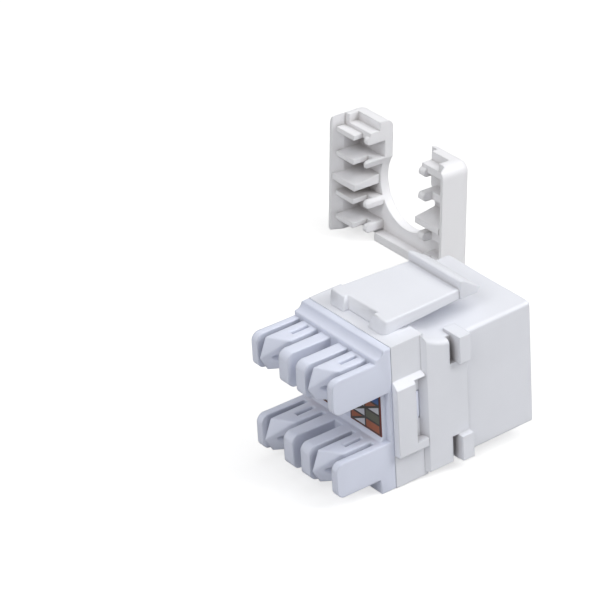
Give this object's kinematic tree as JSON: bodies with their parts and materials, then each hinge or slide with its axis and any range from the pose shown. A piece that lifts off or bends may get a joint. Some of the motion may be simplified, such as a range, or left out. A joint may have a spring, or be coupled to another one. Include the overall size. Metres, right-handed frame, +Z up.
{
  "type": "keystone jack",
  "caption": "Keystone network jack with a flexing panel latch, rows of punch-down wire fingers on its rear block, sprung port contacts and a loose forked wire cap",
  "frame": {"origin": "centre of the nose's front face, in the middle of the moulded front around the plug port", "axes": "-Y points out of the plug port, +X is the width, +Z is up with the panel latch on top; the wire cap stands apart on the same ground"},
  "size_m": [0.0567, 0.0479, 0.0234],
  "materials": {
    "housing_plastic": "satin moulded white",
    "latch_plastic": "satin moulded white",
    "block_plastic": "satin moulded bluish white",
    "cap_plastic": "satin moulded white",
    "sled_plastic": "matt moulded off-white",
    "contact_gold": "gold plated spring wire",
    "blade_tin": "tinned sheet metal",
    "board": "green solder resist",
    "label": "printed film"
  },
  "bodies": {
    "jack": {"housing": "housing_plastic", "contact_sled": "sled_plastic", "contact_tails": "contact_gold", "circuit_board": "board", "wire_block": "block_plastic", "wire_blade_1": "blade_tin", "wire_blade_2": "blade_tin", "wire_blade_3": "blade_tin", "wire_blade_4": "blade_tin", "wire_blade_5": "blade_tin", "wire_blade_6": "blade_tin", "wire_blade_7": "blade_tin", "wire_blade_8": "blade_tin", "wiring_label_left": "label", "wiring_label_right": "label", "wire_cap": "cap_plastic"},
    "latch": {"panel_latch": "latch_plastic"},
    "port_contacts": {"port_contact_1": "contact_gold", "port_contact_2": "contact_gold", "port_contact_3": "contact_gold", "port_contact_4": "contact_gold", "port_contact_5": "contact_gold", "port_contact_6": "contact_gold", "port_contact_7": "contact_gold", "port_contact_8": "contact_gold"}
  },
  "joints": [
    {"name": "latch_flex", "type": "hinge", "parent": "jack", "child": "latch", "pos_m": [0, 0.017, 0.00988], "axis": [1, 0, 0], "range_deg": [0, 8], "stiffness_Nm_per_rad": 0.1, "springref_deg": -2.86},
    {"name": "contact_flex", "type": "hinge", "parent": "jack", "child": "port_contacts", "pos_m": [0, 0.0046, 0.00443], "axis": [1, 0, 0], "range_deg": [0, 7], "stiffness_Nm_per_rad": 0.01, "springref_deg": -2.86}
  ]
}
